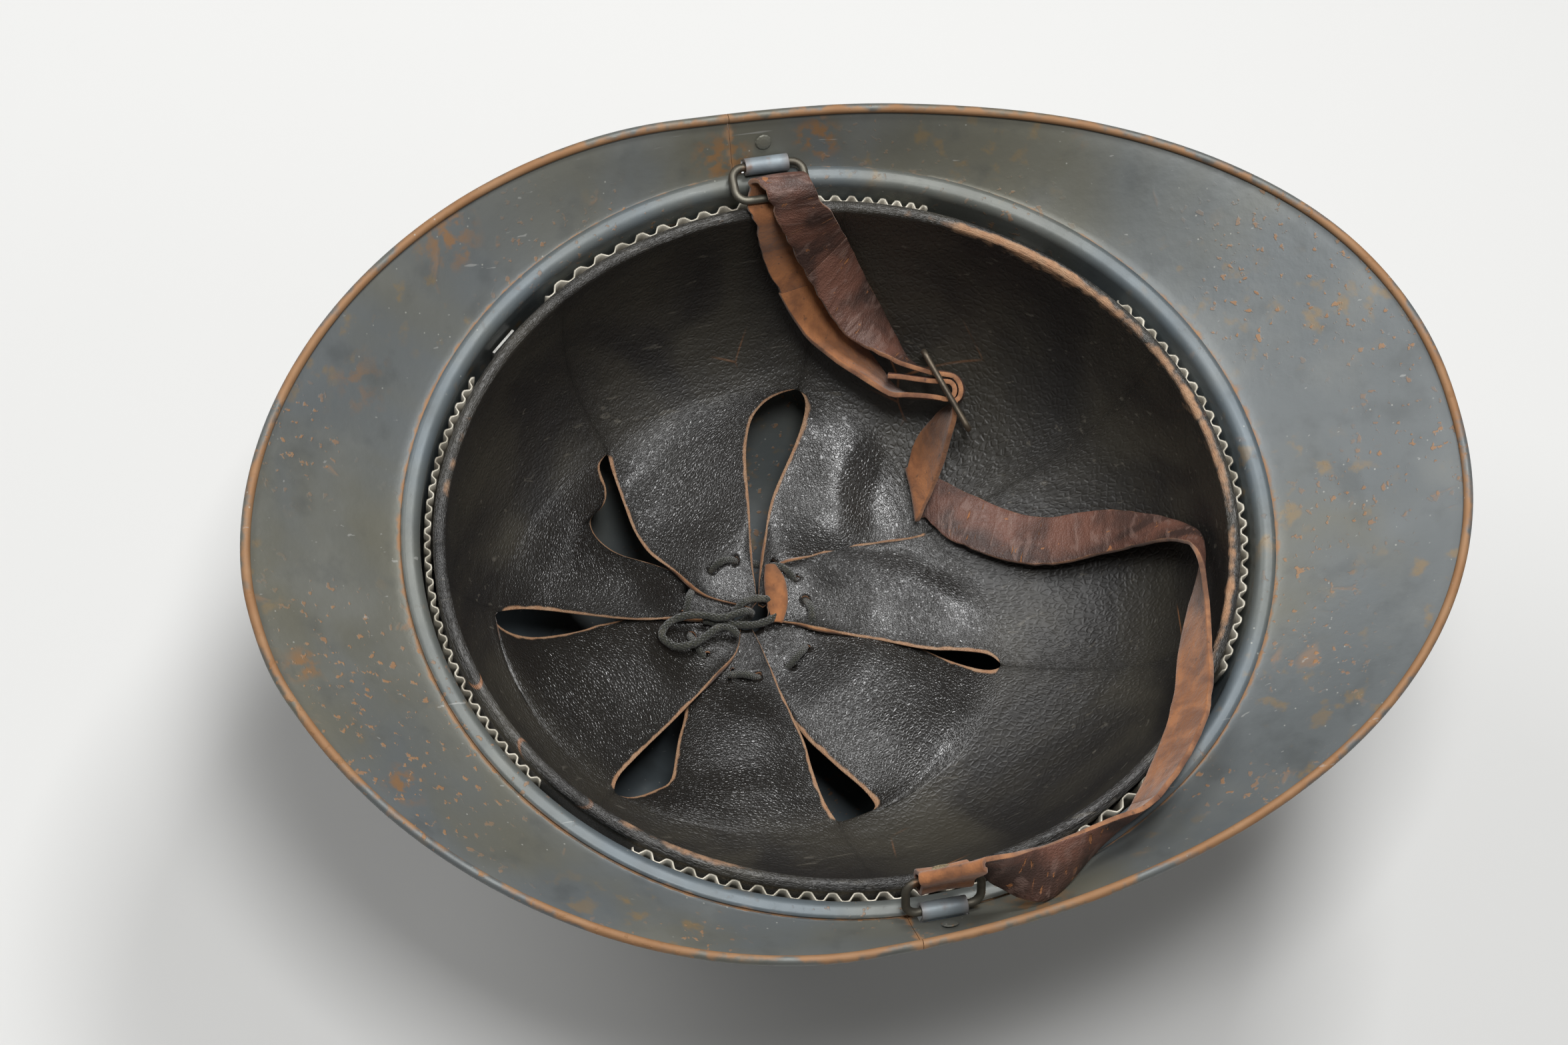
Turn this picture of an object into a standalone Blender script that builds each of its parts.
"""Steel service helmet with a crest, two brims, a laced leather liner and a chin strap.

The helmet lies on its crest: +Z leaves the head opening, +X points to the neck guard and +Y to
the wearer's left. The origin is under the middle of the brim's rim, level with the crest's
lowest point. Lengths are in metres, and depths run down from the flange's open face.
"""

import math

import bmesh
import bpy
from mathutils import Matrix, Vector

# Sheet, clearances and meshing
SHEET = 0.0007
CLEARANCE = 0.0003
OVERRUN = 0.003
WELD_DISTANCE = 0.000001
BOWL_COLUMNS = 48
WALL_ROWS = 9
FILLET_ROWS = 2
SHARP_DEG = 35.0

# Rim of the two brims
RIM_LENGTH = 0.300
BRIM_SIDE_WIDTH = 0.0155
RIM_WIDEST_X = -0.024
RIM_FRONT_RISE = 0.018
RIM_SIDE_RISE = 0.011
RIM_REAR_RISE = 0.021
RIM_FRONT_POWER = 1.85
RIM_REAR_POWER = 2.2
RIM_RISE_POWER = 1.6
BRIM_DISH_POWER = 1.12
BRIM_FOOT = 0.0022
BRIM_ROWS = 6
VISOR_COLUMNS = 28
NECK_GUARD_COLUMNS = 32
BEAD_RADIUS = 0.0012
SEAM_X = -0.0106

# Bowl
BOWL_LENGTH = 0.208
BOWL_WIDTH = 0.189
BOWL_DEPTH = 0.112
BOWL_CENTRE_X = -0.003
BOWL_POWER = 2.3
FLANGE_WIDTH = 0.0040
FLANGE_RADIUS = 0.0018
VENT_LENGTH = 0.070
VENT_WIDTH = 0.006

# Crest
CREST_HEIGHT = 0.015
CREST_FRONT_REACH = 0.082
CREST_REAR_REACH = 0.085
CREST_HALF_WIDTH = 0.021
CREST_END_HALF_WIDTH = 0.010
CREST_FOOT = 0.0062
CREST_RIDGE = 0.0032
CREST_END_HEIGHT = 0.0022
CREST_STATIONS = 20
# The crest's side between its foot and its ridge: how far in and how far up
CREST_WAIST_SHARES = (0.50, 0.34)
CREST_SHOULDER_SHARE = 0.93

# Rivets
CREST_RIVET_REACH = 0.062
CREST_RIVET_HEAD_RADIUS = 0.0024
CREST_RIVET_HEAD_HEIGHT = 0.0012
BRACKET_RIVET_HEAD_RADIUS = 0.0021
BRACKET_RIVET_HEAD_HEIGHT = 0.0005
RIVET_SHANK_RADIUS = 0.0011
RIVET_TAIL_RADIUS = 0.0019
RIVET_TAIL_HEIGHT = 0.0007

# Bails and their brackets
BAIL_WIRE_RADIUS = 0.00105
BAIL_WIDTH = 0.0184
BAIL_DEPTH = 0.0090
BAIL_CORNER = 0.0030
BAIL_PLAY = 0.00035
BAIL_REST_LEFT_DEG = -5.0
BAIL_REST_RIGHT_DEG = 55.0
BRACKET_SHEET = 0.0008
BRACKET_WIDTH = 0.0112
BRACKET_ROWS = (4.8, 4.0, 3.0, 2.0)
BRACKET_RIVET_ROW = 3.75
BRACKET_FROM_SEAM = 0.0088
BRACKET_CURL_DEG = 285.0
PIVOT_OUTSET = 0.0042

# Corrugated spacer strips: where each one starts and ends, in degrees, and its waves
STRIP_SHEET = 0.0004
STRIP_WAVE = 0.0020
STRIP_HEIGHT = 0.024
STRIP_TOP_DEPTH = 0.0050
STRIP_SLACK = 0.0007
STRIP_SPANS = {
    "front": (143.0, 213.0, 26),
    "rear": (-33.0, 34.0, 25),
    "left": (66.0, 126.0, 22),
    "right": (229.0, 307.0, 28),
}

# Tabs that carry the liner, in the spaces between the strips
TAB_TURNS_DEG = (50.0, 134.5, 221.0, 317.0)
TAB_SHEET = 0.0006
TAB_WIDTH = 0.008
TAB_TOP_DEPTH = 0.010
TAB_BOTTOM_DEPTH = 0.024

# Felt band and leather liner
FELT = 0.0010
FELT_HEIGHT = 0.027
FELT_ROWS = 3
LEATHER = 0.0012
LINER_RIM_DEPTH = 0.0045
LINER_CROWN_GAP = 0.034
LINER_POWER = 2.6
LINER_LEAN_X = -0.0127
LINER_LEAN_Y = 0.0077
LINER_ROLL_RADIUS = 0.0017
LINER_COLUMNS = 40
LINER_ROWS = 9
TIE_HOLE_RADIUS = 0.0062
TONGUE_REACH = 0.070
TONGUE_GAP_WIDTH = 0.0150
TONGUE_SLIT_WIDTH = 0.0008
TONGUE_GAP_MIDDLE_SHARE = 0.62
# Each gap between two tongues: its turn in degrees, then where it opens and where it ends as
# shares of the tongues' reach, and its width as a share of the widest gap
TONGUE_GAP_SHARES = (
    (14.5, 0.42, 0.80, 0.22),
    (72.0, 0.33, 0.84, 0.95),
    (135.0, 0.42, 0.82, 0.66),
    (177.0, 0.50, 0.98, 0.42),
    (224.0, 0.47, 0.95, 0.80),
    (283.0, 0.48, 0.92, 0.95),
    (336.5, 0.74, 0.96, 0.35),
)

# Drawstring laced through the tongue tips
CORD_RADIUS = 0.0010
LACING_RADIUS = 0.0165
LACING_RISE = 0.0024
LACING_HOLE_LENGTH = 0.0048
LACING_HOLE_WIDTH = 0.0030
LACING_HOLE_SPACING = 0.0068
LACING_START_DEG = 172.0
LACING_END_DEG = -178.4
LACING_STEPS = 56
# The cord's two free ends from the lacing through a loop of the bow to the tail: each row is a
# place beside the tie and a height over the leather, as shares of the lacing's radius
BOW_RIGHT_SHARES = (
    (-0.728, 0.145, -0.158), (-0.424, 0.194, -0.158), (-0.270, 0.150, -0.130),
    (-0.200, 0.140, 0.000), (-0.150, 0.180, 0.110), (-0.060, 0.250, 0.139),
    (0.050, 0.280, 0.133), (0.182, 0.285, 0.133),
    (0.382, 0.230, 0.133), (0.503, 0.085, 0.133), (0.400, -0.067, 0.133),
    (0.182, -0.133, 0.133), (0.000, -0.139, 0.133), (-0.273, -0.085, 0.133),
    (-0.545, -0.012, 0.133), (-0.739, 0.055, 0.133),
)
BOW_LEFT_SHARES = (
    (-0.880, -0.100, -0.165), (-0.700, -0.115, -0.170), (-0.364, -0.030, -0.170),
    (-0.091, 0.048, -0.170), (0.018, 0.061, -0.085), (0.045, 0.061, 0.061),
    (0.018, 0.061, 0.200), (-0.055, 0.055, 0.270), (-0.182, 0.036, 0.290),
    (-0.485, 0.000, 0.290), (-0.727, 0.073, 0.290), (-1.030, 0.097, 0.315),
    (-1.333, 0.012, 0.303), (-1.491, -0.182, 0.280), (-1.333, -0.376, 0.280),
    (-1.030, -0.388, 0.303), (-0.758, -0.255, 0.290), (-0.545, -0.158, 0.290),
    (-0.364, -0.194, 0.270), (-0.267, -0.297, 0.210),
)

# Chin strap: its way, where each row holds the middle of the strap, as X and Y shares of the
# bowl's half sizes and a share of the liner's depth, and then the direction of its raised edge
STRAP = 0.0014
STRAP_WIDTH = 0.014
STRAP_SLACK = 0.0005
LOOP_HALF_WIDTH = 0.0063
LOOP_UP = (0.0, -0.2, 0.98)
LOOP_IN = (0.0, 0.98, 0.2)
STRAP_RUN_SHARES = (
    # Off the right bail, over the brim with its grain up, and on edge along the flange
    (0.12, -1.02, -0.25, 0.2, 0.1, 1.0), (0.24, -1.03, -0.16, 0.2, 0.8, 0.6),
    (0.40, -0.95, -0.11, 0.1, 0.2, 1.0), (0.52, -0.88, -0.10, 0.2, -0.2, 1.0),
    (0.68, -0.67, -0.06, 0.4, -0.3, 0.9),
    # Down into the liner and round its back wall
    (0.78, -0.42, 0.06, 0.2, -0.2, 0.9), (0.86, -0.18, 0.12, -0.4, -0.4, 0.8),
    (0.85, -0.05, 0.32, -0.4, -0.6, 0.7),
    # Flat on the tongues to the fold
    (0.75, 0.05, 0.57, -0.2, -0.9, 0.3), (0.60, 0.10, 0.73, -0.3, -1.0, 0.1),
    (0.45, 0.22, 0.81, -0.5, -0.9, -0.1), (0.36, 0.33, 0.84, 0.0, -1.0, -0.2),
    # Back over itself and up to the slider
    (0.34, 0.32, 0.82, 0.0, -1.0, -0.2), (0.38, 0.39, 0.74, 0.1, -0.9, 0.2),
    (0.43, 0.46, 0.59, 0.0, -0.5, 0.8),
)
STRAP_UPPER_SHARES = (
    (0.34, 0.63, 0.53, -0.3, -0.5, 0.8), (0.24, 0.75, 0.44, -0.7, -0.8, -0.1),
    (0.15, 0.85, 0.22, -0.8, -0.5, -0.4), (0.08, 0.89, 0.00, -1.0, -0.1, 0.0),
)
STRAP_LOWER_SHARES = (
    (0.03, 0.91, 0.04, -1.0, 0.0, 0.0), (0.08, 0.87, 0.30, -1.0, -0.1, 0.0),
    (0.17, 0.74, 0.53, -0.8, -0.4, 0.3), (0.30, 0.56, 0.59, -0.3, -0.5, 0.8),
)
# Both sewn ends and the turns round the bails, as shares of the loop's half width: along the
# bail and up for the lower edge, the same for the raised edge, then inwards for both
LOOP_FLAP_SHARES = (
    (-1.00, 0.76, 1.00, 0.76, 0.15), (-1.00, 0.51, 1.00, 0.51, 0.21),
    (-1.00, 0.25, 1.00, 0.25, 0.31),
)
LOOP_RISE_SHARES = (
    (-1.00, 0.25, 1.00, 0.25, -0.31), (-1.00, 0.48, 1.00, 0.54, -0.21),
    (-1.00, 0.65, 1.00, 1.11, -0.16), (-1.00, 0.78, 1.00, 1.94, -0.16),
)
LOOP_AWAY_SHARES = (
    (-0.24, 0.89, 1.10, 2.89, 0.16), (0.48, 0.89, 1.21, 2.86, 0.16),
    (1.06, 0.86, 1.33, 2.79, 0.16),
)
LOOP_FOLD_BASE_SHARE = 0.89
LOOP_FOLD_RADIUS = 0.00095
# The loose turn over the left bail: degrees, radius as a share of the tightest turn, shift along
# the bail and half width as shares of the loop's half width
LEFT_TURN_SHARES = (
    (150.0, 1.91, 0.76, 1.00), (110.0, 2.74, 0.54, 1.00), (70.0, 2.87, 0.32, 1.02),
    (30.0, 2.17, 0.13, 1.02), (0.0, 1.26, 0.03, 1.02), (-45.0, 1.02, 0.00, 1.02),
    (-90.0, 1.02, 0.00, 1.03), (-125.0, 1.30, 0.03, 1.08),
)

# Slider: its centre as the strap's tables give places, the strap's directions there, and how
# far the frame is turned from the strap
SLIDER_WIRE_RADIUS = 0.0008
SLIDER_LENGTH = 0.0230
SLIDER_WIDTH = 0.0164
SLIDER_CORNER = 0.0020
SLIDER_PLACE_SHARES = (0.43, 0.52, 0.54)
SLIDER_TURN_DEG = 53.0
SLIDER_OUTER_TURN_DEG = (228.0, 95.0)
SLIDER_INNER_TURN_DEG = (-90.0, -270.0)
STRAP_SIDE = (-0.247, -0.370, 0.896)
STRAP_BACK = (-0.935, 0.333, -0.120)
# The layers beside the slider, as shares of the strap's width: back from it and above it
SLIDER_UPPER_SHARES = ((0.286, 0.311), (0.586, 0.357))
SLIDER_LOWER_SHARES = ((0.714, -0.186), (0.357, -0.168), (0.107, -0.168))
SLIDER_END_SHARES = ((0.286, 0.168), (0.571, 0.164), (0.857, 0.161), (1.107, 0.157))

FLANGE_Z = BOWL_DEPTH + CREST_HEIGHT
RIM_WIDTH = BOWL_WIDTH + 2 * BRIM_SIDE_WIDTH
LINER_DEPTH = BOWL_DEPTH - LINER_CROWN_GAP
BOWL_SEMI_X = BOWL_LENGTH / 2
BOWL_SEMI_Y = BOWL_WIDTH / 2
PIVOT_HEIGHT = CLEARANCE + BRACKET_SHEET + BAIL_PLAY + BAIL_WIRE_RADIUS
FACET_SAG = BOWL_SEMI_X * (1 - math.cos(math.pi / BOWL_COLUMNS))
STRIP_INSET = SHEET + CLEARANCE + 2 * FACET_SAG + STRIP_WAVE / 2
FELT_INSET = STRIP_INSET + STRIP_WAVE / 2 + STRIP_SLACK + CLEARANCE + FELT / 2
LINER_INSET = FELT_INSET + FELT / 2 + CLEARANCE + LEATHER / 2
ROLL_INSET = STRIP_INSET + STRIP_WAVE / 2 + CLEARANCE + LINER_ROLL_RADIUS


# Places on the helmet

def bowl_share(depth):
    """The bowl's horizontal size at a depth, as a share of its size at the opening."""
    return math.sqrt(max(0, 1 - (depth / BOWL_DEPTH) ** BOWL_POWER))


def bowl_point(turn, depth, outset):
    """A point beside the bowl's outer face: an inset is a negative outset."""
    share = bowl_share(depth)
    return Vector((
        BOWL_CENTRE_X + (BOWL_SEMI_X * share + outset) * math.cos(turn),
        (BOWL_SEMI_Y * share + outset) * math.sin(turn),
        FLANGE_Z - depth,
    ))


def bowl_below(x, y, lift):
    """The point a lift away from the bowl's outer face, on its normal at a plan place."""
    across = ((x - BOWL_CENTRE_X) / BOWL_SEMI_X) ** 2 + (y / BOWL_SEMI_Y) ** 2
    depth = BOWL_DEPTH * (1 - across) ** (1 / BOWL_POWER)
    normal = Vector((
        2 * (x - BOWL_CENTRE_X) / BOWL_SEMI_X**2,
        2 * y / BOWL_SEMI_Y**2,
        -BOWL_POWER * (depth / BOWL_DEPTH) ** (BOWL_POWER - 1) / BOWL_DEPTH,
    )).normalized()
    return Vector((x, y, FLANGE_Z - depth)) + normal * lift, normal


def signed_power(value, power):
    return math.copysign(abs(value) ** power, value)


def rim_point(turn):
    """A point on the middle of the rim's bead."""
    semi_x = RIM_LENGTH / 2 - BEAD_RADIUS
    semi_y = RIM_WIDTH / 2 - BEAD_RADIUS
    cosine, sine = math.cos(turn), math.sin(turn)
    front = cosine < 0
    power = RIM_FRONT_POWER if front else RIM_REAR_POWER
    reach = semi_x + RIM_WIDEST_X if front else semi_x - RIM_WIDEST_X
    end_rise = RIM_FRONT_RISE if front else RIM_REAR_RISE
    rise = RIM_SIDE_RISE + (end_rise - RIM_SIDE_RISE) * abs(cosine) ** RIM_RISE_POWER
    return Vector((
        RIM_WIDEST_X + reach * signed_power(cosine, 2 / power),
        semi_y * signed_power(sine, 2 / power),
        FLANGE_Z + rise,
    ))


def rim_turn_at(x):
    """The turn at which the rim's left side passes a place along X."""
    front = x < RIM_WIDEST_X
    power = RIM_FRONT_POWER if front else RIM_REAR_POWER
    semi_x = RIM_LENGTH / 2 - BEAD_RADIUS
    reach = semi_x + RIM_WIDEST_X if front else semi_x - RIM_WIDEST_X
    return math.acos(signed_power((x - RIM_WIDEST_X) / reach, power / 2))


def ellipse_towards(place, outset):
    """Where the bowl's opening, grown by an outset, lies on the way to a place in plan."""
    x, y = place.x - BOWL_CENTRE_X, place.y
    scale = 1 / math.hypot(x / (BOWL_SEMI_X + outset), y / (BOWL_SEMI_Y + outset))
    return Vector((BOWL_CENTRE_X + scale * x, scale * y, 0))


def brim_point(turn, row):
    """The middle of the brim's sheet: row 0 is its foot under the flange, the last its bead."""
    rim = rim_point(turn)
    foot_z = FLANGE_Z - SHEET - CLEARANCE - SHEET / 2
    if row == 0:
        place = ellipse_towards(rim, BRIM_FOOT)
        place.z = foot_z
        return place
    start = ellipse_towards(rim, FLANGE_WIDTH + CLEARANCE)
    start.z = foot_z
    share = (row - 1) / (BRIM_ROWS - 1)
    place = start.lerp(rim, share)
    place.z = foot_z + (rim.z - foot_z) * share**BRIM_DISH_POWER
    return place


def liner_share(depth):
    """The liner's horizontal size at a depth, as a share of its size at the rim."""
    below = max(0, depth - LINER_RIM_DEPTH) / (LINER_DEPTH - LINER_RIM_DEPTH)
    return math.sqrt(max(0, 1 - below**LINER_POWER))


def liner_point(turn, share, depth, outset):
    """A point beside the middle of the liner's leather, where its size is a share of the rim's."""
    lean = 1 - share
    return Vector((
        BOWL_CENTRE_X + LINER_LEAN_X * lean
        + ((BOWL_SEMI_X - LINER_INSET) * share + outset) * math.cos(turn),
        LINER_LEAN_Y * lean + ((BOWL_SEMI_Y - LINER_INSET) * share + outset) * math.sin(turn),
        FLANGE_Z - depth,
    ))


def liner_depth_at_share(share):
    return LINER_RIM_DEPTH + (LINER_DEPTH - LINER_RIM_DEPTH) * (1 - share**2) ** (1 / LINER_POWER)


def liner_height(x, y):
    """The height of the middle of the liner's leather at a plan place, found by halving."""
    low, high = 0.0, 1.0
    for _ in range(32):
        share = (low + high) / 2
        centre = liner_point(0, share, 0, 0)
        edge_x = (BOWL_SEMI_X - LINER_INSET) * share
        edge_y = (BOWL_SEMI_Y - LINER_INSET) * share
        across = (x - centre.x + edge_x) / edge_x, (y - centre.y) / edge_y
        if math.hypot(*across) <= 1:
            high = share
        else:
            low = share
    return FLANGE_Z - liner_depth_at_share(high)


TIE = Vector((BOWL_CENTRE_X + LINER_LEAN_X, LINER_LEAN_Y, FLANGE_Z - LINER_DEPTH))
SEAM_TURN = rim_turn_at(SEAM_X)


# Modelling helpers

def finished(name, mesh, collection):
    made = bpy.data.objects.new(name, mesh)
    collection.objects.link(made)
    return made


def mesh_from(name, shape):
    mesh = bpy.data.meshes.new(name)
    shape.to_mesh(mesh)
    shape.free()
    return mesh


def placed_sheet(name, columns, rows, place, thickness, offset=0.0):
    """A grid placed by place(column, row) and given its thickness; offset -1 is behind it."""
    shape = bmesh.new()
    bmesh.ops.create_grid(shape, x_segments=columns, y_segments=rows, size=1)
    for vertex in shape.verts:
        column = round((vertex.co.x + 1) / 2 * columns)
        row = round((vertex.co.y + 1) / 2 * rows)
        vertex.co = place(column, row)
    bmesh.ops.remove_doubles(shape, verts=shape.verts, dist=WELD_DISTANCE)
    made = finished(name, mesh_from(name, shape), PARTS)
    wall = made.modifiers.new("wall", "SOLIDIFY")
    wall.thickness = thickness
    wall.offset = offset
    wall.use_even_offset = True
    made.modifiers.new("flat faces", "TRIANGULATE")
    return made


def baked(made):
    """The object with its modifiers or its curve turned into a welded mesh."""
    bpy.context.view_layer.update()
    evaluated = made.evaluated_get(bpy.context.evaluated_depsgraph_get())
    mesh = bpy.data.meshes.new_from_object(evaluated)
    shape = bmesh.new()
    shape.from_mesh(mesh)
    bmesh.ops.remove_doubles(shape, verts=shape.verts, dist=WELD_DISTANCE)
    shape.to_mesh(mesh)
    shape.free()
    name, collection = made.name, made.users_collection[0]
    matrix = made.matrix_world.copy()
    bpy.data.objects.remove(made)
    mesh.name = name
    solid = finished(name, mesh, collection)
    solid.matrix_world = matrix
    return solid


def wire(name, points, radius, collection, closed=False, resolution=2):
    """A round wire through the points, as a mesh."""
    curve = bpy.data.curves.new(name, "CURVE")
    curve.dimensions = "3D"
    spline = curve.splines.new("POLY")
    spline.points.add(len(points) - 1)
    for point, place in zip(spline.points, points):
        point.co = (*place, 1)
    spline.use_cyclic_u = closed
    curve.bevel_depth = radius
    curve.bevel_resolution = resolution
    curve.use_fill_caps = True
    return baked(finished(name, curve, collection))


def plate(name, outline, thickness, collection):
    """A flat outline in local X and Y, given its thickness about local Z, as a mesh."""
    curve = bpy.data.curves.new(name, "CURVE")
    curve.dimensions = "2D"
    curve.fill_mode = "BOTH"
    curve.extrude = thickness / 2
    spline = curve.splines.new("POLY")
    spline.points.add(len(outline) - 1)
    for point, (x, y) in zip(spline.points, outline):
        point.co = (x, y, 0, 1)
    spline.use_cyclic_u = True
    return baked(finished(name, curve, collection))


def as_cutter(made):
    made.hide_render = True
    made.display_type = "WIRE"
    return made


def pin_cutter(name, radius, length, centre, axis):
    """A round cutter centred on a point."""
    shape = bmesh.new()
    bmesh.ops.create_cone(
        shape, cap_ends=True, segments=12, radius1=radius, radius2=radius, depth=length
    )
    cutter = as_cutter(finished(name, mesh_from(name, shape), CUTTERS))
    aim(cutter, centre, axis)
    return cutter


def aim(made, place, axis):
    """Puts an object at a place with its local Z along an axis."""
    made.location = place
    made.rotation_mode = "QUATERNION"
    made.rotation_quaternion = Vector((0, 0, 1)).rotation_difference(axis)


def boolean(target, other, operation):
    step = target.modifiers.new(f"{operation.lower()} {other.name}", "BOOLEAN")
    step.operation = operation
    step.object = other


def revolved(name, profile, place, axis, steps=12):
    """A turned piece whose profile of (radius, height) pairs runs down its outer side."""
    shape = bmesh.new()
    corners = [shape.verts.new((radius, 0, height)) for radius, height in profile]
    for first, second in zip(corners, corners[1:]):
        shape.edges.new((first, second))
    made = finished(name, mesh_from(name, shape), PARTS)
    turn = made.modifiers.new("turned", "SCREW")
    turn.steps = turn.render_steps = steps
    turn.use_merge_vertices = True
    turn.merge_threshold = WELD_DISTANCE
    aim(made, place, axis)
    return made


def stadium(length, width, steps):
    """The outline of a slot with round ends, long in local X."""
    radius = width / 2
    outline = []
    for end in (1, -1):
        for step in range(steps + 1):
            turn = math.pi * (step / steps - 0.5)
            outline.append((
                end * (length / 2 - radius + radius * math.cos(turn)),
                end * radius * math.sin(turn),
            ))
    return outline


def band_outline(path, half):
    """The outline of a folded strip whose middle follows a path of (x, y) points."""
    left, right = [], []
    for index, (x, y) in enumerate(path):
        x0, y0 = path[max(index - 1, 0)]
        x1, y1 = path[min(index + 1, len(path) - 1)]
        size = math.hypot(x1 - x0, y1 - y0)
        side_x, side_y = (y0 - y1) / size * half, (x1 - x0) / size * half
        left.append((x + side_x, y + side_y))
        right.append((x - side_x, y - side_y))
    return left + right[::-1]


def painted(made, name, colour, roughness, metallic):
    """Gives an object its own material and smooth round faces."""
    material = bpy.data.materials.new(name)
    material.use_nodes = True
    surface = material.node_tree.nodes["Principled BSDF"]
    surface.inputs["Base Color"].default_value = (*colour, 1)
    surface.inputs["Roughness"].default_value = roughness
    surface.inputs["Metallic"].default_value = metallic
    if made.type == "MESH":
        made.data.materials.clear()
        made.data.materials.append(material)
        made.data.shade_smooth()
        made.data.set_sharp_from_angle(angle=math.radians(SHARP_DEG))


# Sheet metal

def make_shell():
    """The bowl with its flange, its rivet holes and the vent slot under the crest."""
    start = SHEET + FLANGE_RADIUS
    profile = []
    for row in range(WALL_ROWS):
        share = math.cos(math.pi / 2 * row / WALL_ROWS)
        profile.append((start + (BOWL_DEPTH - start) * share, 0.0))
    for row in range(FILLET_ROWS + 1):
        turn = math.pi / 2 * row / FILLET_ROWS
        profile.append((start - FLANGE_RADIUS * math.sin(turn), FLANGE_RADIUS * (1 - math.cos(turn))))
    profile.append((SHEET, FLANGE_WIDTH))

    def place(column, row):
        depth, outset = profile[row]
        return bowl_point(math.tau * (column % BOWL_COLUMNS) / BOWL_COLUMNS, depth, outset)

    shell = placed_sheet("shell", BOWL_COLUMNS, len(profile) - 1, place, SHEET, -1.0)
    slot = as_cutter(plate("vent_slot", stadium(VENT_LENGTH, VENT_WIDTH, 6), CREST_HEIGHT, CUTTERS))
    slot.location = (BOWL_CENTRE_X, 0, CREST_HEIGHT)
    boolean(shell, slot, "DIFFERENCE")
    for hole in CREST_HOLES:
        boolean(shell, hole, "DIFFERENCE")
    painted(shell, "shell_paint", (0.11, 0.13, 0.14), 0.5, 0.3)
    return shell


def make_brim(name, first_turn, last_turn, columns, cutters=()):
    """One brim plate with its rolled edge, between two turns of the rim."""

    def turn_at(column):
        return first_turn + (last_turn - first_turn) * column / columns

    brim = placed_sheet(
        name, columns, BRIM_ROWS, lambda column, row: brim_point(turn_at(column), row), SHEET
    )
    for cutter in cutters:
        boolean(brim, cutter, "DIFFERENCE")
    bead_path = [rim_point(turn_at(column)) for column in range(columns + 1)]
    bead = as_cutter(wire(f"{name}_bead", bead_path, BEAD_RADIUS, CUTTERS, resolution=1))
    boolean(brim, bead, "UNION")
    painted(brim, f"{name}_paint", (0.10, 0.12, 0.13), 0.5, 0.3)


def make_crest():
    """The hollow comb that follows the crown, with a foot flange down each side."""
    half_stations = CREST_STATIONS // 2

    def station(column):
        along = (column - half_stations) / half_stations
        reach = CREST_REAR_REACH if along > 0 else CREST_FRONT_REACH
        x = BOWL_CENTRE_X + reach * math.sin(along * math.pi / 2)
        fade = abs(along) ** 3
        height = CREST_HEIGHT + (CREST_END_HEIGHT - CREST_HEIGHT) * fade
        half_width = CREST_HALF_WIDTH + (CREST_END_HALF_WIDTH - CREST_HALF_WIDTH) * fade
        return x, height, half_width

    def place(column, row):
        x, height, half_width = station(column)
        side = 1 if row < 4 else -1
        step = abs(row - 4)
        foot = CLEARANCE + SHEET
        inner = half_width - CREST_FOOT
        waist_in, waist_up = CREST_WAIST_SHARES
        y, lift = {
            4: (half_width, foot),
            3: (inner, foot),
            2: (inner - (inner - CREST_RIDGE) * waist_in, foot + (height - foot) * waist_up),
            1: (CREST_RIDGE, foot + (height - foot) * CREST_SHOULDER_SHARE),
            0: (0.0, height),
        }[step]
        point, _ = bowl_below(x, 0, lift)
        if step > 2:
            return bowl_below(x, side * y, lift)[0]
        return point + Vector((0, side * y, 0))

    crest = placed_sheet("crest", CREST_STATIONS, 8, place, SHEET, -1.0)
    for hole in CREST_HOLES:
        boolean(crest, hole, "DIFFERENCE")
    painted(crest, "crest_paint", (0.11, 0.13, 0.14), 0.5, 0.3)
    return crest


def crest_rivet_places():
    """Where the four crest rivets cross the bowl, with the bowl's normal there."""
    places = []
    for reach in (-CREST_RIVET_REACH, CREST_RIVET_REACH):
        along = abs(reach) / CREST_FRONT_REACH
        fade = (math.asin(along) * 2 / math.pi) ** 3
        half_width = CREST_HALF_WIDTH + (CREST_END_HALF_WIDTH - CREST_HALF_WIDTH) * fade
        for side in (1, -1):
            y = side * (half_width - CREST_FOOT / 2)
            places.append(bowl_below(BOWL_CENTRE_X + reach, y, 0))
    return places


def rivet_profile(head_radius, head_height, grip):
    """A domed head over a clamped stack of a given grip, with a small formed tail."""
    steps = 3
    dome = [
        (head_radius * math.sin(math.pi / 2 * step / steps),
         CLEARANCE + head_height * math.cos(math.pi / 2 * step / steps))
        for step in range(steps + 1)
    ]
    return dome + [
        (RIVET_SHANK_RADIUS, CLEARANCE),
        (RIVET_SHANK_RADIUS, -grip - CLEARANCE),
        (RIVET_TAIL_RADIUS, -grip - CLEARANCE),
        (RIVET_TAIL_RADIUS, -grip - CLEARANCE - RIVET_TAIL_HEIGHT),
        (0.0, -grip - CLEARANCE - RIVET_TAIL_HEIGHT),
    ]


def make_crest_rivets():
    """Four rivets through the crest's feet and the bowl."""
    stack = SHEET + CLEARANCE
    for number, (place, normal) in enumerate(crest_rivet_places(), 1):
        rivet = revolved(
            f"crest_rivet_{number}",
            rivet_profile(
                CREST_RIVET_HEAD_RADIUS, CREST_RIVET_HEAD_HEIGHT, stack + SHEET + FACET_SAG
            ),
            place + normal * stack, normal,
        )
        painted(rivet, f"crest_rivet_{number}_paint", (0.11, 0.13, 0.14), 0.5, 0.3)


# Bails and brackets

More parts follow.
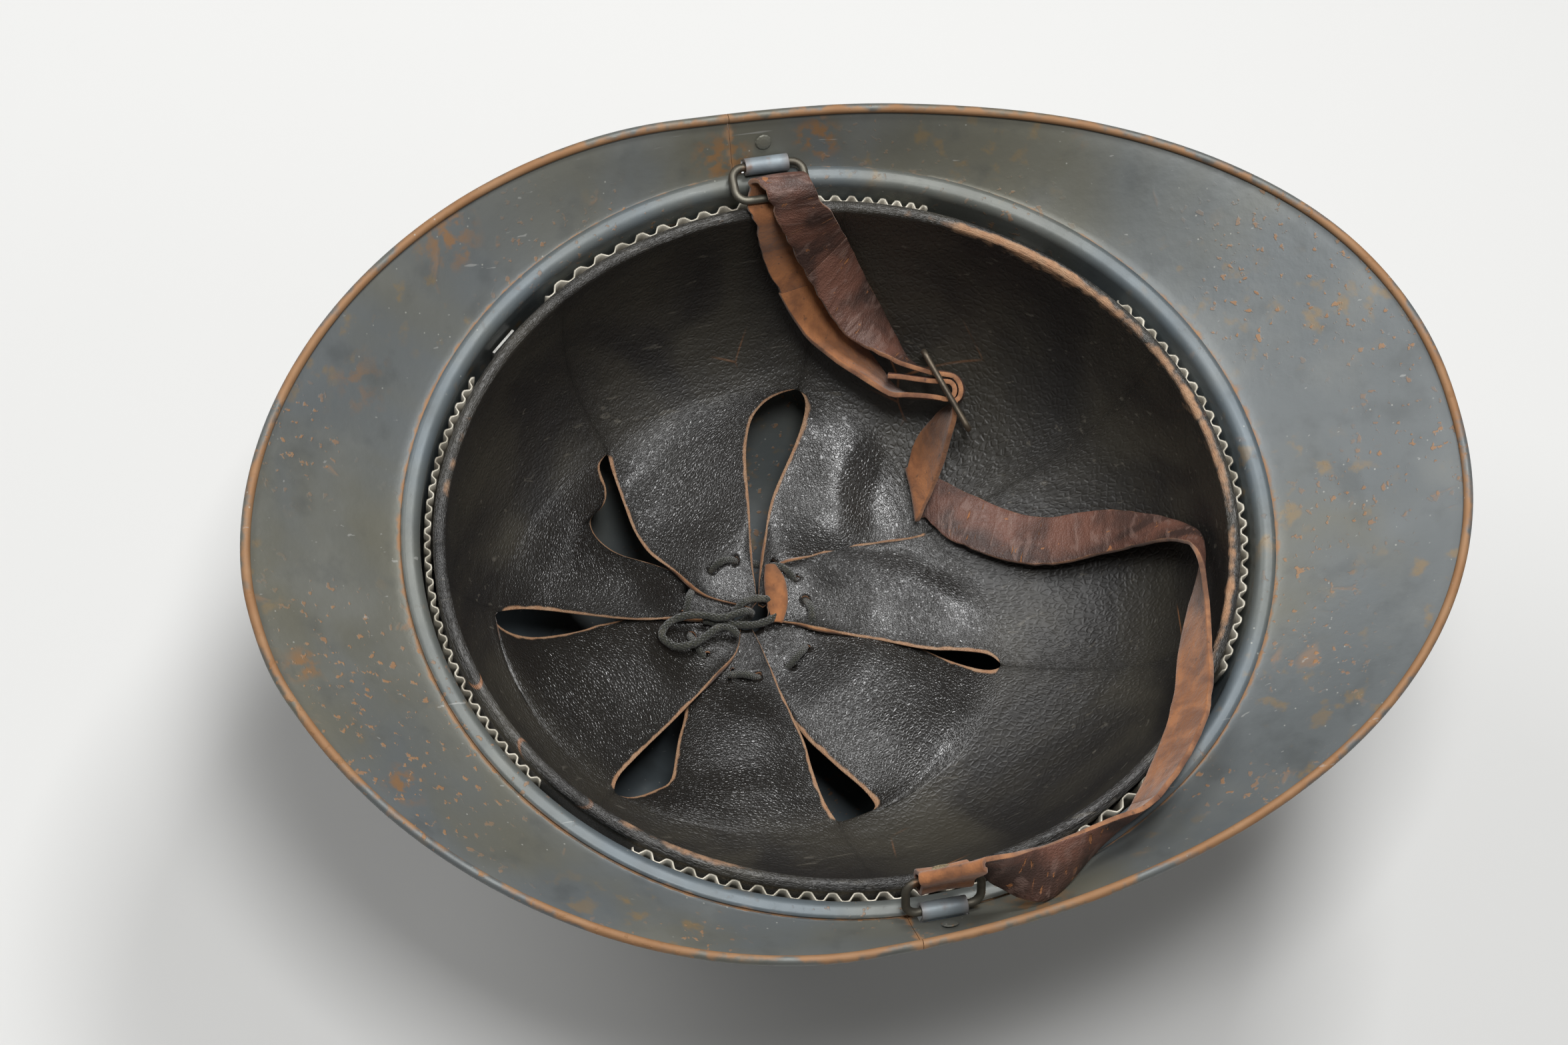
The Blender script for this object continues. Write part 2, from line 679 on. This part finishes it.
def brim_section(row, offset):
    """A point off the brim's middle at the brackets as (outset, height), with its slope."""
    turn = rim_turn_at(PIVOT_X)
    place, near, far = (brim_point(turn, at) for at in (row, row - 0.5, row + 0.5))
    run = Vector((far.y - near.y, far.z - near.z)).normalized()
    over = Vector((-run.y, run.x))
    return Vector((place.y - BOWL_SIDE_Y, place.z - FLANGE_Z)) + over * offset, run


def bracket_path():
    """The bracket's fold as (outset, height) points from its tail to the end of its eye."""
    radius = BAIL_WIRE_RADIUS + BAIL_PLAY + BRACKET_SHEET / 2
    stem = PIVOT_OUTSET + radius
    behind = -(SHEET / 2 + CLEARANCE + BRACKET_SHEET / 2)
    tail = [brim_section(row, behind)[0] for row in BRACKET_ROWS]
    heel, run = brim_section(BRACKET_ROWS[-1], behind)
    heel = heel + run * ((stem - heel.x) / run.x)
    stem_foot = Vector((stem, heel.y + BRACKET_SHEET))
    eye = []
    steps = 14
    for step in range(steps + 1):
        turn = math.radians(BRACKET_CURL_DEG) * step / steps
        eye.append(Vector((
            PIVOT_OUTSET + radius * math.cos(turn), PIVOT_HEIGHT + radius * math.sin(turn),
        )))
    return tail + [stem_foot] + eye


def sided(side):
    """Turns a section of (outset, height) into the world on one side of the helmet."""
    out = Vector((0, side, 0))
    up = Vector((0, 0, 1))
    along = out.cross(up)
    turned = Matrix((out, up, along)).transposed().to_4x4()
    turned.translation = Vector((PIVOT_X, side * BOWL_SIDE_Y, FLANGE_Z))
    return turned


def bracket_rivet_seat(side):
    """Where a bracket rivet crosses the middle of the brim, with its axis to the inside."""
    place, run = brim_section(BRACKET_RIVET_ROW, 0)
    axis = Vector((0, -side * run.y, run.x))
    return sided(side) @ Vector((place.x, place.y, 0)), axis


def bracket_hole(side):
    """The hole that a bracket's rivet takes through the neck guard and the bracket."""
    seat, axis = bracket_rivet_seat(side)
    return pin_cutter(
        f"bracket_rivet_hole_{side}", RIVET_SHANK_RADIUS + CLEARANCE, BRACKET_WIDTH, seat, axis
    )


def make_side(label, side, rest_degrees, hole):
    """One side's bracket, rivet and bail."""
    outline = band_outline([tuple(point) for point in bracket_path()], BRACKET_SHEET / 2)
    bracket = plate(f"{label}_bail_bracket", outline, BRACKET_WIDTH, PARTS)
    bracket.matrix_world = sided(side)
    boolean(bracket, hole, "DIFFERENCE")
    painted(bracket, f"{label}_bracket_steel", (0.20, 0.23, 0.25), 0.35, 0.7)

    seat, axis = bracket_rivet_seat(side)
    grip = SHEET + CLEARANCE + BRACKET_SHEET
    rivet = revolved(
        f"{label}_bracket_rivet",
        rivet_profile(BRACKET_RIVET_HEAD_RADIUS, BRACKET_RIVET_HEAD_HEIGHT, grip),
        seat + axis * (SHEET / 2), axis,
    )
    painted(rivet, f"{label}_bracket_rivet_paint", (0.12, 0.12, 0.11), 0.5, 0.4)

    bail = wire(f"{label}_bail", bail_points(), BAIL_WIRE_RADIUS, PARTS, closed=True)
    bail.matrix_world = bail_matrix(side, rest_degrees)
    painted(bail, f"{label}_bail_steel", (0.24, 0.24, 0.22), 0.35, 0.9)


def bail_points():
    """The bail's wire in its own plane: local X along the pivot, local Y away from it."""
    half = BAIL_WIDTH / 2
    corners = (
        (half - BAIL_CORNER, BAIL_CORNER, -90), (half - BAIL_CORNER, BAIL_DEPTH - BAIL_CORNER, 0),
        (BAIL_CORNER - half, BAIL_DEPTH - BAIL_CORNER, 90), (BAIL_CORNER - half, BAIL_CORNER, 180),
    )
    points = []
    steps = 5
    for x, y, start in corners:
        for step in range(steps + 1):
            turn = math.radians(start + 90 * step / steps)
            points.append((x + BAIL_CORNER * math.cos(turn), y + BAIL_CORNER * math.sin(turn), 0))
    return points


def bail_matrix(side, rest_degrees):
    """The bail's place: its local Y points inwards and is lifted by the rest angle."""
    lift = math.radians(rest_degrees)
    away = Vector((0, -side * math.cos(lift), math.sin(lift)))
    along = Vector((1, 0, 0))
    turned = Matrix((along, away, along.cross(away))).transposed().to_4x4()
    turned.translation = pivot_place(side)
    return turned


def pivot_place(side):
    return Vector((PIVOT_X, side * (BOWL_SIDE_Y + PIVOT_OUTSET), FLANGE_Z + PIVOT_HEIGHT))


def bracket_notch(side):
    """The opening that lets a bracket pass behind the neck guard."""
    radius = BAIL_WIRE_RADIUS + BAIL_PLAY + BRACKET_SHEET
    near = BRIM_FOOT - OVERRUN
    far = PIVOT_OUTSET + radius + CLEARANCE
    half = BRACKET_WIDTH / 2 + CLEARANCE
    outline = [(near, -half), (far, -half), (far, half), (near, half)]
    notch = as_cutter(plate(f"notch_{side}", outline, 2 * (PIVOT_HEIGHT + OVERRUN), CUTTERS))
    notch.rotation_euler.z = side * math.pi / 2
    notch.location = (PIVOT_X, side * BOWL_SIDE_Y, FLANGE_Z)
    return notch


# Lining

def make_strips():
    """The four corrugated strips that hold the liner off the bowl."""
    swing = (STRIP_WAVE - STRIP_SHEET) / 2
    for label, (start, end, waves) in STRIP_SPANS.items():
        columns = 2 * waves

        def place(column, row):
            turn = math.radians(start + (end - start) * column / columns)
            side = swing if column % 2 else -swing
            depth = STRIP_TOP_DEPTH + STRIP_HEIGHT * (1 - row)
            return bowl_point(turn, depth, side - STRIP_INSET)

        strip = placed_sheet(f"spacer_strip_{label}", columns, 1, place, STRIP_SHEET)
        painted(strip, f"spacer_strip_{label}_aluminium", (0.72, 0.70, 0.64), 0.4, 0.9)


def make_tabs():
    """Bent tabs: a foot on the bowl's wall and a step that the felt band's back rests on."""
    for number, degrees in enumerate(TAB_TURNS_DEG, 1):
        turn = math.radians(degrees)
        inset = SHEET + CLEARANCE + 2 * FACET_SAG + TAB_SHEET / 2
        top = bowl_point(turn, TAB_TOP_DEPTH, -inset)
        heel = bowl_point(turn, TAB_BOTTOM_DEPTH, -inset)
        share = liner_share(TAB_BOTTOM_DEPTH)
        outset = LEATHER / 2 + 2 * CLEARANCE + FELT
        toe = liner_point(turn, share, TAB_BOTTOM_DEPTH, outset)
        outward = Vector((top.x - BOWL_CENTRE_X, top.y * (BOWL_SEMI_X / BOWL_SEMI_Y) ** 2, 0))
        outward.normalize()
        up = Vector((0, 0, 1))
        path = [
            ((point - heel).dot(outward), (point - heel).dot(up)) for point in (top, heel, toe)
        ]
        outline = band_outline(path, TAB_SHEET / 2)
        tab = plate(f"liner_tab_{number}", outline, TAB_WIDTH, PARTS)
        turned = Matrix((outward, up, outward.cross(up))).transposed().to_4x4()
        turned.translation = heel
        tab.matrix_world = turned
        painted(tab, f"liner_tab_{number}_steel", (0.55, 0.55, 0.52), 0.4, 0.9)


def make_felt_band():
    """The wool band between the leather and the strips."""
    top = LINER_RIM_DEPTH + LINER_ROLL_RADIUS + CLEARANCE

    def place(column, row):
        depth = top + FELT_HEIGHT * (1 - row / FELT_ROWS)
        turn = math.tau * (column % LINER_COLUMNS) / LINER_COLUMNS
        outset = LEATHER / 2 + CLEARANCE + FELT / 2
        return liner_point(turn, liner_share(depth), depth, outset)

    felt = placed_sheet("felt_band", LINER_COLUMNS, FELT_ROWS, place, FELT)
    painted(felt, "felt", (0.10, 0.09, 0.07), 0.95, 0.0)


def gap_outline(opens, ends, width):
    """A drop-shaped gap with a slit tail that reaches into the tie hole, along local X."""
    slit = TONGUE_SLIT_WIDTH / 2
    radius = width / 2
    centre = ends - radius
    steps = 8
    upper = [(TIE_HOLE_RADIUS / 2, slit), (opens, slit)]
    middle = (opens + centre) / 2
    upper.append((middle, slit + (radius - slit) * TONGUE_GAP_MIDDLE_SHARE))
    for step in range(steps // 2 + 1):
        turn = math.pi / 2 * (1 - step / (steps // 2))
        upper.append((centre + radius * math.cos(turn), radius * math.sin(turn)))
    lower = [(x, -y) for x, y in upper[:-1]]
    return upper + lower[::-1]


def make_liner():
    """The leather bowl: a rolled rim and seven tongues with lacing holes round the tie."""

    def place(column, row):
        share = math.sin(math.pi / 2 * row / LINER_ROWS)
        turn = math.tau * (column % LINER_COLUMNS) / LINER_COLUMNS
        return liner_point(turn, share, liner_depth_at_share(share), 0)

    liner = placed_sheet("liner", LINER_COLUMNS, LINER_ROWS, place, LEATHER)
    roll_path = []
    for column in range(LINER_COLUMNS):
        turn = math.tau * column / LINER_COLUMNS
        roll_path.append(bowl_point(turn, 0, -ROLL_INSET) - Vector((0, 0, LINER_RIM_DEPTH)))
    roll = as_cutter(wire(
        "liner_roll", roll_path, LINER_ROLL_RADIUS, CUTTERS, closed=True, resolution=1
    ))
    boolean(liner, roll, "UNION")
    tie_hole = pin_cutter("tie_hole", TIE_HOLE_RADIUS, LINER_DEPTH, TIE, Vector((0, 0, 1)))
    boolean(liner, tie_hole, "DIFFERENCE")
    for number, (degrees, opens, ends, width) in enumerate(TONGUE_GAP_SHARES, 1):
        outline = gap_outline(opens * TONGUE_REACH, ends * TONGUE_REACH, width * TONGUE_GAP_WIDTH)
        gap = as_cutter(plate(f"tongue_gap_{number}", outline, LINER_DEPTH, CUTTERS))
        gap.location = TIE + Vector((0, 0, LINER_DEPTH / 2 - OVERRUN))
        gap.rotation_euler.z = math.radians(degrees)
        boolean(liner, gap, "DIFFERENCE")
    for number, turn in enumerate(lacing_hole_turns(), 1):
        hole = plate(
            f"lacing_hole_{number}", stadium(LACING_HOLE_LENGTH, LACING_HOLE_WIDTH, 4),
            2 * LACING_RADIUS, CUTTERS,
        )
        as_cutter(hole)
        hole.location = TIE + LACING_RADIUS * Vector((math.cos(turn), math.sin(turn), 0))
        hole.rotation_euler.z = turn + math.pi / 2
        boolean(liner, hole, "DIFFERENCE")
    painted(liner, "liner_leather", (0.022, 0.020, 0.018), 0.45, 0.0)


def tongue_turns():
    """The turn of each tongue's middle about the tie."""
    edges = [degrees for degrees, _, _, _ in TONGUE_GAP_SHARES]
    edges.append(edges[0] + 360)
    return [math.radians((first + second) / 2) for first, second in zip(edges, edges[1:])]


def lacing_hole_turns():
    half = LACING_HOLE_SPACING / 2 / LACING_RADIUS
    return [turn + side * half for turn in tongue_turns() for side in (-1, 1)]


# Drawstring, chin strap and slider

def over_leather(x, y, height):
    """A place over the liner near the tie, from plan shares and height share."""
    place = TIE + LACING_RADIUS * Vector((x, y, 0))
    return Vector((
        place.x, place.y, liner_height(place.x, place.y) + height * LACING_RADIUS,
    ))


def lacing_points():
    """The cord's ring: over each tongue between its two holes and under its edges."""
    points = []
    for step in range(LACING_STEPS + 1):
        degrees = LACING_START_DEG
        degrees += (LACING_END_DEG - LACING_START_DEG) * step / LACING_STEPS
        turn = math.radians(degrees)
        nearest = min(
            (abs(math.remainder(turn - middle, math.tau)) for middle in tongue_turns())
        )
        phase = min(math.pi, math.pi * nearest * LACING_RADIUS / LACING_HOLE_SPACING)
        height = LACING_RISE / LACING_RADIUS * math.cos(phase)
        points.append(over_leather(math.cos(turn), math.sin(turn), height))
    return points


def smoothed(points, parts=2):
    """The points with so many times as many places on the smooth curve through them."""
    rounded = []
    for index in range(len(points) - 1):
        before = points[max(index - 1, 0)]
        start, end = points[index], points[index + 1]
        after = points[min(index + 2, len(points) - 1)]
        for part in range(parts):
            t = part / parts
            rounded.append(
                start + (end - before) * (t / 2)
                + (2 * before - 5 * start + 4 * end - after) * (t**2 / 2)
                + (3 * start - before - 3 * end + after) * (t**3 / 2)
            )
    return rounded + [points[-1]]


def make_drawstring():
    """One cord: tail, bow loop, lacing round all the tongues, bow loop and tail."""
    right = [over_leather(*row) for row in BOW_RIGHT_SHARES]
    left = [over_leather(*row) for row in BOW_LEFT_SHARES]
    lacing = lacing_points()
    start, end = lacing[:1], lacing[-1:]
    path = smoothed(right[::-1] + start)[:-1] + lacing + smoothed(end + left)[1:]
    cord = wire("drawstring", path, CORD_RADIUS, PARTS, resolution=1)
    painted(cord, "drawstring_wool", (0.06, 0.06, 0.045), 0.95, 0.0)


def route_place(x, y, depth):
    return Vector((
        BOWL_CENTRE_X + x * BOWL_SEMI_X, y * BOWL_SEMI_Y, FLANGE_Z - depth * LINER_DEPTH
    ))


def route(rows):
    """Both edges of the strap along one of its route tables."""
    lower, raised = [], []
    for x, y, depth, *edge in rows:
        middle = route_place(x, y, depth)
        half = Vector(edge).normalized() * (STRAP_WIDTH / 2)
        lower.append(middle - half)
        raised.append(middle + half)
    steps = 3
    return list(zip(smoothed(lower, steps), smoothed(raised, steps)))


def bar_place(side, rest_degrees):
    """The middle of a bail's bar."""
    return bail_matrix(side, rest_degrees) @ Vector((0, BAIL_DEPTH, 0))


def right_loop():
    """The loop sewn round the right bail and the fold that turns the strap backwards."""
    bar = bar_place(-1, BAIL_REST_RIGHT_DEG)
    half = LOOP_HALF_WIDTH
    up, inward = Vector(LOOP_UP), Vector(LOOP_IN)

    def place(along, height, inside):
        return bar + Vector((along, 0, 0)) + up * height + inward * inside

    def rows(table):
        return [
            (place(low_x * half, low * half, inside * half),
             place(high_x * half, high * half, inside * half))
            for low_x, low, high_x, high, inside in table
        ]

    stations = rows(LOOP_FLAP_SHARES)
    wrap = BAIL_WIRE_RADIUS + STRAP_SLACK + STRAP / 2
    for degrees in (0, -45, -90, -135, -180):
        turn = math.radians(degrees)
        height, inside = wrap * math.sin(turn), wrap * math.cos(turn)
        stations.append((place(-half, height, inside), place(half, height, inside)))
    stations += rows(LOOP_RISE_SHARES)
    for degrees in (0, 60, 120, 180):
        turn = math.radians(degrees)
        out = LOOP_FOLD_RADIUS * math.sin(turn) * math.sqrt(0.5)
        base = LOOP_FOLD_BASE_SHARE * half + out
        inside = -LOOP_FOLD_RADIUS * math.cos(turn)
        stations.append((
            place(-half - out, base, inside), place(half - out, base + 2 * half, inside)
        ))
    return stations + rows(LOOP_AWAY_SHARES)


def left_turn():
    """The loose turn through the left bail and over its bar."""
    bar = bar_place(1, BAIL_REST_LEFT_DEG)
    wrap = BAIL_WIRE_RADIUS + STRAP_SLACK + STRAP / 2
    stations = []
    for degrees, radius, shift, width in LEFT_TURN_SHARES:
        turn = math.radians(degrees)
        middle = bar + Vector((
            shift * LOOP_HALF_WIDTH, radius * wrap * math.cos(turn), radius * wrap * math.sin(turn)
        ))
        half = Vector((width * LOOP_HALF_WIDTH, 0, 0))
        stations.append((middle + half, middle - half))
    return stations


def slider_station(back, above):
    """Both edges of the strap beside the slider."""
    side = Vector(STRAP_SIDE).normalized()
    along = Vector(STRAP_BACK).normalized()
    middle = route_place(*SLIDER_PLACE_SHARES) + along * back + along.cross(side) * above
    return middle - side * (STRAP_WIDTH / 2), middle + side * (STRAP_WIDTH / 2)


def slider_layers(rows):
    return [slider_station(back * STRAP_WIDTH, above * STRAP_WIDTH) for back, above in rows]


def slider_turn(radius, start, end, steps):
    """The strap's turn round the slider's middle bar."""
    stations = []
    for step in range(steps + 1):
        turn = math.radians(start + (end - start) * step / steps)
        stations.append(slider_station(radius * math.cos(turn), radius * math.sin(turn)))
    return stations


def make_strap():
    """The strap from its sewn loop, through the slider and the left bail, to its sewn end."""
    inner = SLIDER_WIRE_RADIUS + 2 * STRAP_SLACK + STRAP / 2
    outer = inner + STRAP + CLEARANCE
    stations = right_loop() + route(STRAP_RUN_SHARES)
    stations += slider_turn(outer, *SLIDER_OUTER_TURN_DEG, 5) + slider_layers(SLIDER_UPPER_SHARES)
    stations += route(STRAP_UPPER_SHARES) + left_turn() + route(STRAP_LOWER_SHARES)
    stations += slider_layers(SLIDER_LOWER_SHARES) + slider_turn(inner, *SLIDER_INNER_TURN_DEG, 6)
    stations += slider_layers(SLIDER_END_SHARES)
    strap = ribbon("chin_strap", stations, STRAP)
    painted(strap, "strap_leather", (0.22, 0.10, 0.055), 0.7, 0.0)


def ribbon(name, stations, thickness):
    """A lofted strip whose two edges pass through pairs of points."""
    shape = bmesh.new()
    rings = []
    for index, (low, high) in enumerate(stations):
        before, after = stations[max(index - 1, 0)], stations[min(index + 1, len(stations) - 1)]
        ahead = (after[0] + after[1]) - (before[0] + before[1])
        normal = ahead.cross(high - low).normalized() * (thickness / 2)
        rings.append([
            shape.verts.new(place)
            for place in (low + normal, high + normal, high - normal, low - normal)
        ])
    for first, second in zip(rings, rings[1:]):
        for corner in range(4):
            following = (corner + 1) % 4
            shape.faces.new((first[corner], first[following], second[following], second[corner]))
    shape.faces.new(rings[0][::-1])
    shape.faces.new(rings[-1])
    bmesh.ops.recalc_face_normals(shape, faces=shape.faces)
    made = finished(name, mesh_from(name, shape), PARTS)
    made.modifiers.new("flat faces", "TRIANGULATE")
    return made


def make_slider():
    """The strap's wire frame with its middle bar."""
    half_length, half_width = SLIDER_LENGTH / 2, SLIDER_WIDTH / 2
    points = []
    steps = 4
    for x, y, start in ((1, 1, 0), (-1, 1, 90), (-1, -1, 180), (1, -1, 270)):
        for step in range(steps + 1):
            turn = math.radians(start + 90 * step / steps)
            points.append((
                x * (half_length - SLIDER_CORNER) + SLIDER_CORNER * math.cos(turn),
                y * (half_width - SLIDER_CORNER) + SLIDER_CORNER * math.sin(turn), 0,
            ))
    slider = wire("strap_slider", points, SLIDER_WIRE_RADIUS, PARTS, closed=True)
    bar = as_cutter(wire(
        "slider_bar", [(0, -half_width, 0), (0, half_width, 0)], SLIDER_WIRE_RADIUS, CUTTERS
    ))
    side = Vector(STRAP_SIDE).normalized()
    along = Vector(STRAP_BACK).normalized()
    turn = math.radians(SLIDER_TURN_DEG)
    length = along * math.cos(turn) + along.cross(side) * math.sin(turn)
    turned = Matrix((length, side, length.cross(side))).transposed().to_4x4()
    turned.translation = route_place(*SLIDER_PLACE_SHARES)
    slider.matrix_world = turned
    bar.matrix_world = turned
    boolean(slider, bar, "UNION")
    painted(slider, "slider_steel", (0.20, 0.17, 0.13), 0.5, 0.8)


def clear_scene():
    for made in list(bpy.data.objects):
        bpy.data.objects.remove(made)


def new_collection(name):
    collection = bpy.data.collections.new(name)
    bpy.context.scene.collection.children.link(collection)
    return collection


clear_scene()
PARTS = new_collection("service_helmet")
CUTTERS = new_collection("cutters")

PIVOT_X = SEAM_X + BRACKET_FROM_SEAM
BOWL_SIDE_Y = ellipse_towards(rim_point(rim_turn_at(PIVOT_X)), 0).y
CREST_HOLES = [
    pin_cutter(
        f"crest_rivet_hole_{number}", RIVET_SHANK_RADIUS + CLEARANCE,
        2 * CREST_FOOT, place, normal,
    )
    for number, (place, normal) in enumerate(crest_rivet_places(), 1)
]

BRACKET_HOLES = {side: bracket_hole(side) for side in (1, -1)}
SEAM_HALF_GAP = CLEARANCE / RIM_WIDTH

make_shell()
make_crest()
make_crest_rivets()
make_brim(
    "front_visor", SEAM_TURN + SEAM_HALF_GAP, math.tau - SEAM_TURN - SEAM_HALF_GAP, VISOR_COLUMNS
)
make_brim(
    "rear_neck_guard", SEAM_HALF_GAP - SEAM_TURN, SEAM_TURN - SEAM_HALF_GAP, NECK_GUARD_COLUMNS,
    [bracket_notch(1), bracket_notch(-1), *BRACKET_HOLES.values()],
)
make_side("left", 1, BAIL_REST_LEFT_DEG, BRACKET_HOLES[1])
make_side("right", -1, BAIL_REST_RIGHT_DEG, BRACKET_HOLES[-1])
make_strips()
make_tabs()
make_felt_band()
make_liner()
make_drawstring()
make_strap()
make_slider()

for side, label in ((1, "left"), (-1, "right")):
    print(label, "bail pivot at", [round(value, 5) for value in pivot_place(side)])
